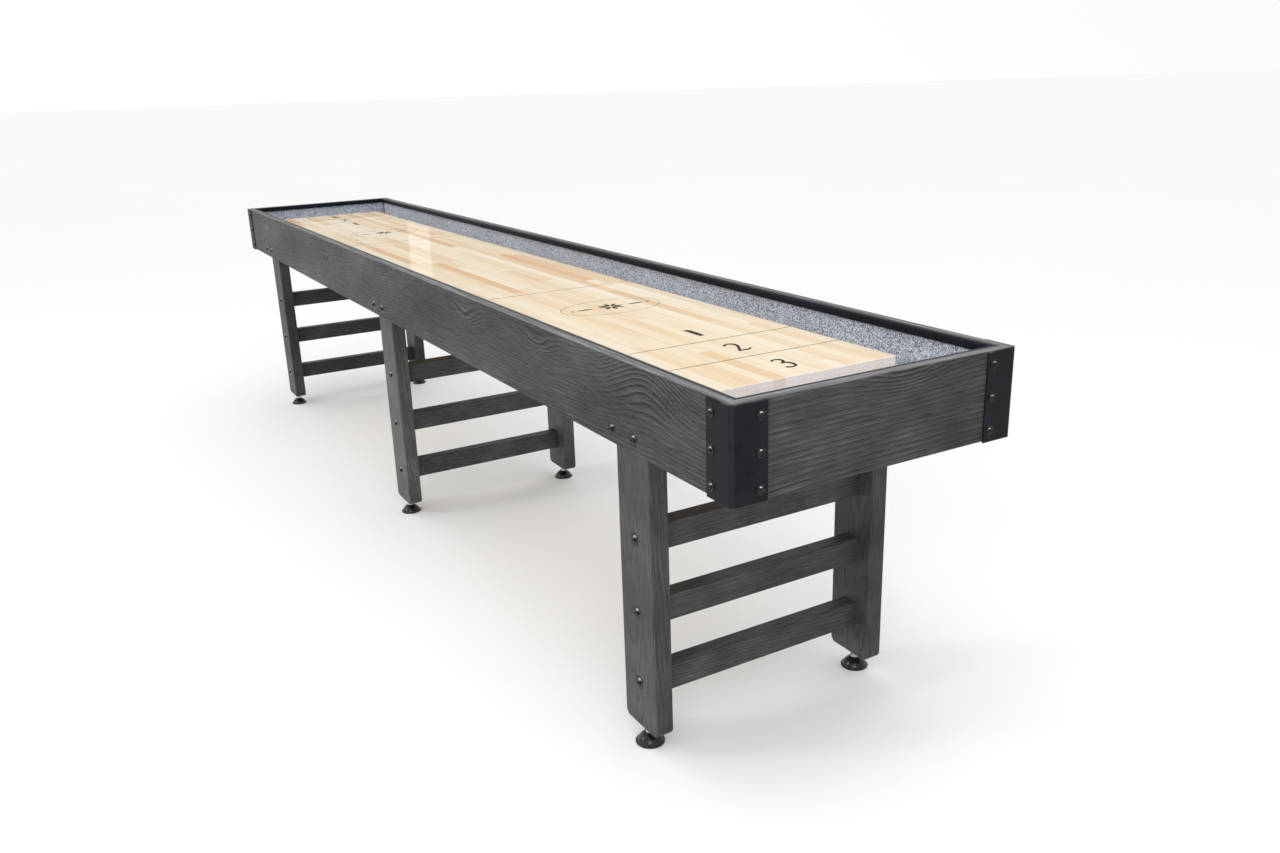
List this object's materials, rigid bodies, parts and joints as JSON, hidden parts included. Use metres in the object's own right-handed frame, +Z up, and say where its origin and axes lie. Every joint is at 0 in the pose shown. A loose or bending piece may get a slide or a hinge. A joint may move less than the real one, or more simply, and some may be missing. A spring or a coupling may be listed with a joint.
{
  "type": "shuffleboard table",
  "caption": "Long table shuffleboard: butcher-block playfield in a carpeted gutter cabinet, on laddered leg frames with screw levelling feet.",
  "frame": {"origin": "on the floor below the middle of the table", "axes": "+X along the table towards its right end, +Y across it towards the back, +Z up"},
  "size_m": [3.6676, 0.6316, 0.804],
  "materials": {
    "charcoal_wood": "wire-brushed grain, charcoal stain, satin",
    "maple_block": "butcher block under a clear glossy polymer",
    "hidden_wood": "planed, unfinished",
    "plywood": "sanded, unfinished",
    "gutter_carpet": "speckled low loop pile",
    "bumper_rubber": "smooth, faint sheen",
    "black_plate": "black powder coat, satin",
    "black_fastener": "black oxide",
    "zinc_steel": "bright zinc plate",
    "foot_shell": "gloss black enamel"
  },
  "bodies": {
    "cabinet": {"front_right_board": "charcoal_wood", "front_left_board": "charcoal_wood", "back_right_board": "charcoal_wood", "back_left_board": "charcoal_wood", "right_end_board": "charcoal_wood", "left_end_board": "charcoal_wood", "front_bumper": "bumper_rubber", "back_bumper": "bumper_rubber", "right_bumper": "bumper_rubber", "left_bumper": "bumper_rubber", "front_gutter_floor": "plywood", "back_gutter_floor": "plywood", "end_gutter_floors": "plywood", "floor_carpets": "gutter_carpet", "wall_carpets": "gutter_carpet", "playfield": "maple_block", "playfield_runners": "hidden_wood", "cross_bearers": "hidden_wood", "left_front_post": "charcoal_wood", "left_back_post": "charcoal_wood", "left_rungs": "charcoal_wood", "middle_front_post": "charcoal_wood", "middle_back_post": "charcoal_wood", "middle_rungs": "charcoal_wood", "right_front_post": "charcoal_wood", "right_back_post": "charcoal_wood", "right_rungs": "charcoal_wood", "leg_top_rails": "charcoal_wood", "front_right_bracket": "black_plate", "front_left_bracket": "black_plate", "back_right_bracket": "black_plate", "back_left_bracket": "black_plate", "bracket_screws": "black_fastener", "apron_bolts": "black_fastener", "leg_bolts": "black_fastener", "apron_nuts": "zinc_steel", "barrel_nuts": "zinc_steel", "tee_nuts": "zinc_steel", "playfield_screws": "zinc_steel", "splice_plates": "zinc_steel", "splice_screws": "zinc_steel", "adjuster_angles": "zinc_steel", "adjuster_screws": "zinc_steel"},
    "left_front_leveler_pad": {"left_front_leveler_pad": "foot_shell"},
    "left_front_leveler_stud": {"left_front_leveler_stud": "zinc_steel"},
    "left_back_leveler_pad": {"left_back_leveler_pad": "foot_shell"},
    "left_back_leveler_stud": {"left_back_leveler_stud": "zinc_steel"},
    "middle_front_leveler_pad": {"middle_front_leveler_pad": "foot_shell"},
    "middle_front_leveler_stud": {"middle_front_leveler_stud": "zinc_steel"},
    "middle_back_leveler_pad": {"middle_back_leveler_pad": "foot_shell"},
    "middle_back_leveler_stud": {"middle_back_leveler_stud": "zinc_steel"},
    "right_front_leveler_pad": {"right_front_leveler_pad": "foot_shell"},
    "right_front_leveler_stud": {"right_front_leveler_stud": "zinc_steel"},
    "right_back_leveler_pad": {"right_back_leveler_pad": "foot_shell"},
    "right_back_leveler_stud": {"right_back_leveler_stud": "zinc_steel"},
    "adjuster_rod_1": {"adjuster_rod_1": "zinc_steel"},
    "adjuster_rod_2": {"adjuster_rod_2": "zinc_steel"},
    "adjuster_rod_3": {"adjuster_rod_3": "zinc_steel"},
    "adjuster_rod_4": {"adjuster_rod_4": "zinc_steel"}
  },
  "joints": [
    {"name": "left_front_leveler_lift", "type": "slide", "parent": "cabinet", "child": "left_front_leveler_pad", "axis": [0, 0, 1], "range_m": [-0.015, 0.009]},
    {"name": "left_front_leveler_turn", "type": "hinge", "parent": "left_front_leveler_pad", "child": "left_front_leveler_stud", "pos_m": [-1.48, -0.27, 0.05], "axis": [0, 0, 1], "range_deg": [-3600, 2160]},
    {"name": "left_back_leveler_lift", "type": "slide", "parent": "cabinet", "child": "left_back_leveler_pad", "axis": [0, 0, 1], "range_m": [-0.015, 0.009]},
    {"name": "left_back_leveler_turn", "type": "hinge", "parent": "left_back_leveler_pad", "child": "left_back_leveler_stud", "pos_m": [-1.48, 0.27, 0.05], "axis": [0, 0, 1], "range_deg": [-3600, 2160]},
    {"name": "middle_front_leveler_lift", "type": "slide", "parent": "cabinet", "child": "middle_front_leveler_pad", "axis": [0, 0, 1], "range_m": [-0.015, 0.009]},
    {"name": "middle_front_leveler_turn", "type": "hinge", "parent": "middle_front_leveler_pad", "child": "middle_front_leveler_stud", "pos_m": [0, -0.27, 0.05], "axis": [0, 0, 1], "range_deg": [-3600, 2160]},
    {"name": "middle_back_leveler_lift", "type": "slide", "parent": "cabinet", "child": "middle_back_leveler_pad", "axis": [0, 0, 1], "range_m": [-0.015, 0.009]},
    {"name": "middle_back_leveler_turn", "type": "hinge", "parent": "middle_back_leveler_pad", "child": "middle_back_leveler_stud", "pos_m": [0, 0.27, 0.05], "axis": [0, 0, 1], "range_deg": [-3600, 2160]},
    {"name": "right_front_leveler_lift", "type": "slide", "parent": "cabinet", "child": "right_front_leveler_pad", "axis": [0, 0, 1], "range_m": [-0.015, 0.009]},
    {"name": "right_front_leveler_turn", "type": "hinge", "parent": "right_front_leveler_pad", "child": "right_front_leveler_stud", "pos_m": [1.48, -0.27, 0.05], "axis": [0, 0, 1], "range_deg": [-3600, 2160]},
    {"name": "right_back_leveler_lift", "type": "slide", "parent": "cabinet", "child": "right_back_leveler_pad", "axis": [0, 0, 1], "range_m": [-0.015, 0.009]},
    {"name": "right_back_leveler_turn", "type": "hinge", "parent": "right_back_leveler_pad", "child": "right_back_leveler_stud", "pos_m": [1.48, 0.27, 0.05], "axis": [0, 0, 1], "range_deg": [-3600, 2160]},
    {"name": "adjuster_1_turn", "type": "hinge", "parent": "cabinet", "child": "adjuster_rod_1", "pos_m": [-1.25, 0, 0.708], "axis": [0, 1, 0], "range_deg": [-720, 720]},
    {"name": "adjuster_2_turn", "type": "hinge", "parent": "cabinet", "child": "adjuster_rod_2", "pos_m": [-0.45, 0, 0.708], "axis": [0, 1, 0], "range_deg": [-720, 720]},
    {"name": "adjuster_3_turn", "type": "hinge", "parent": "cabinet", "child": "adjuster_rod_3", "pos_m": [0.45, 0, 0.708], "axis": [0, 1, 0], "range_deg": [-720, 720]},
    {"name": "adjuster_4_turn", "type": "hinge", "parent": "cabinet", "child": "adjuster_rod_4", "pos_m": [1.25, 0, 0.708], "axis": [0, 1, 0], "range_deg": [-720, 720]}
  ],
  "couplings": [
    {"joint": "left_front_leveler_turn", "follows": "left_front_leveler_lift", "rad_per_m": 4188.8},
    {"joint": "left_back_leveler_turn", "follows": "left_back_leveler_lift", "rad_per_m": 4188.8},
    {"joint": "middle_front_leveler_turn", "follows": "middle_front_leveler_lift", "rad_per_m": 4188.8},
    {"joint": "middle_back_leveler_turn", "follows": "middle_back_leveler_lift", "rad_per_m": 4188.8},
    {"joint": "right_front_leveler_turn", "follows": "right_front_leveler_lift", "rad_per_m": 4188.8},
    {"joint": "right_back_leveler_turn", "follows": "right_back_leveler_lift", "rad_per_m": 4188.8}
  ]
}
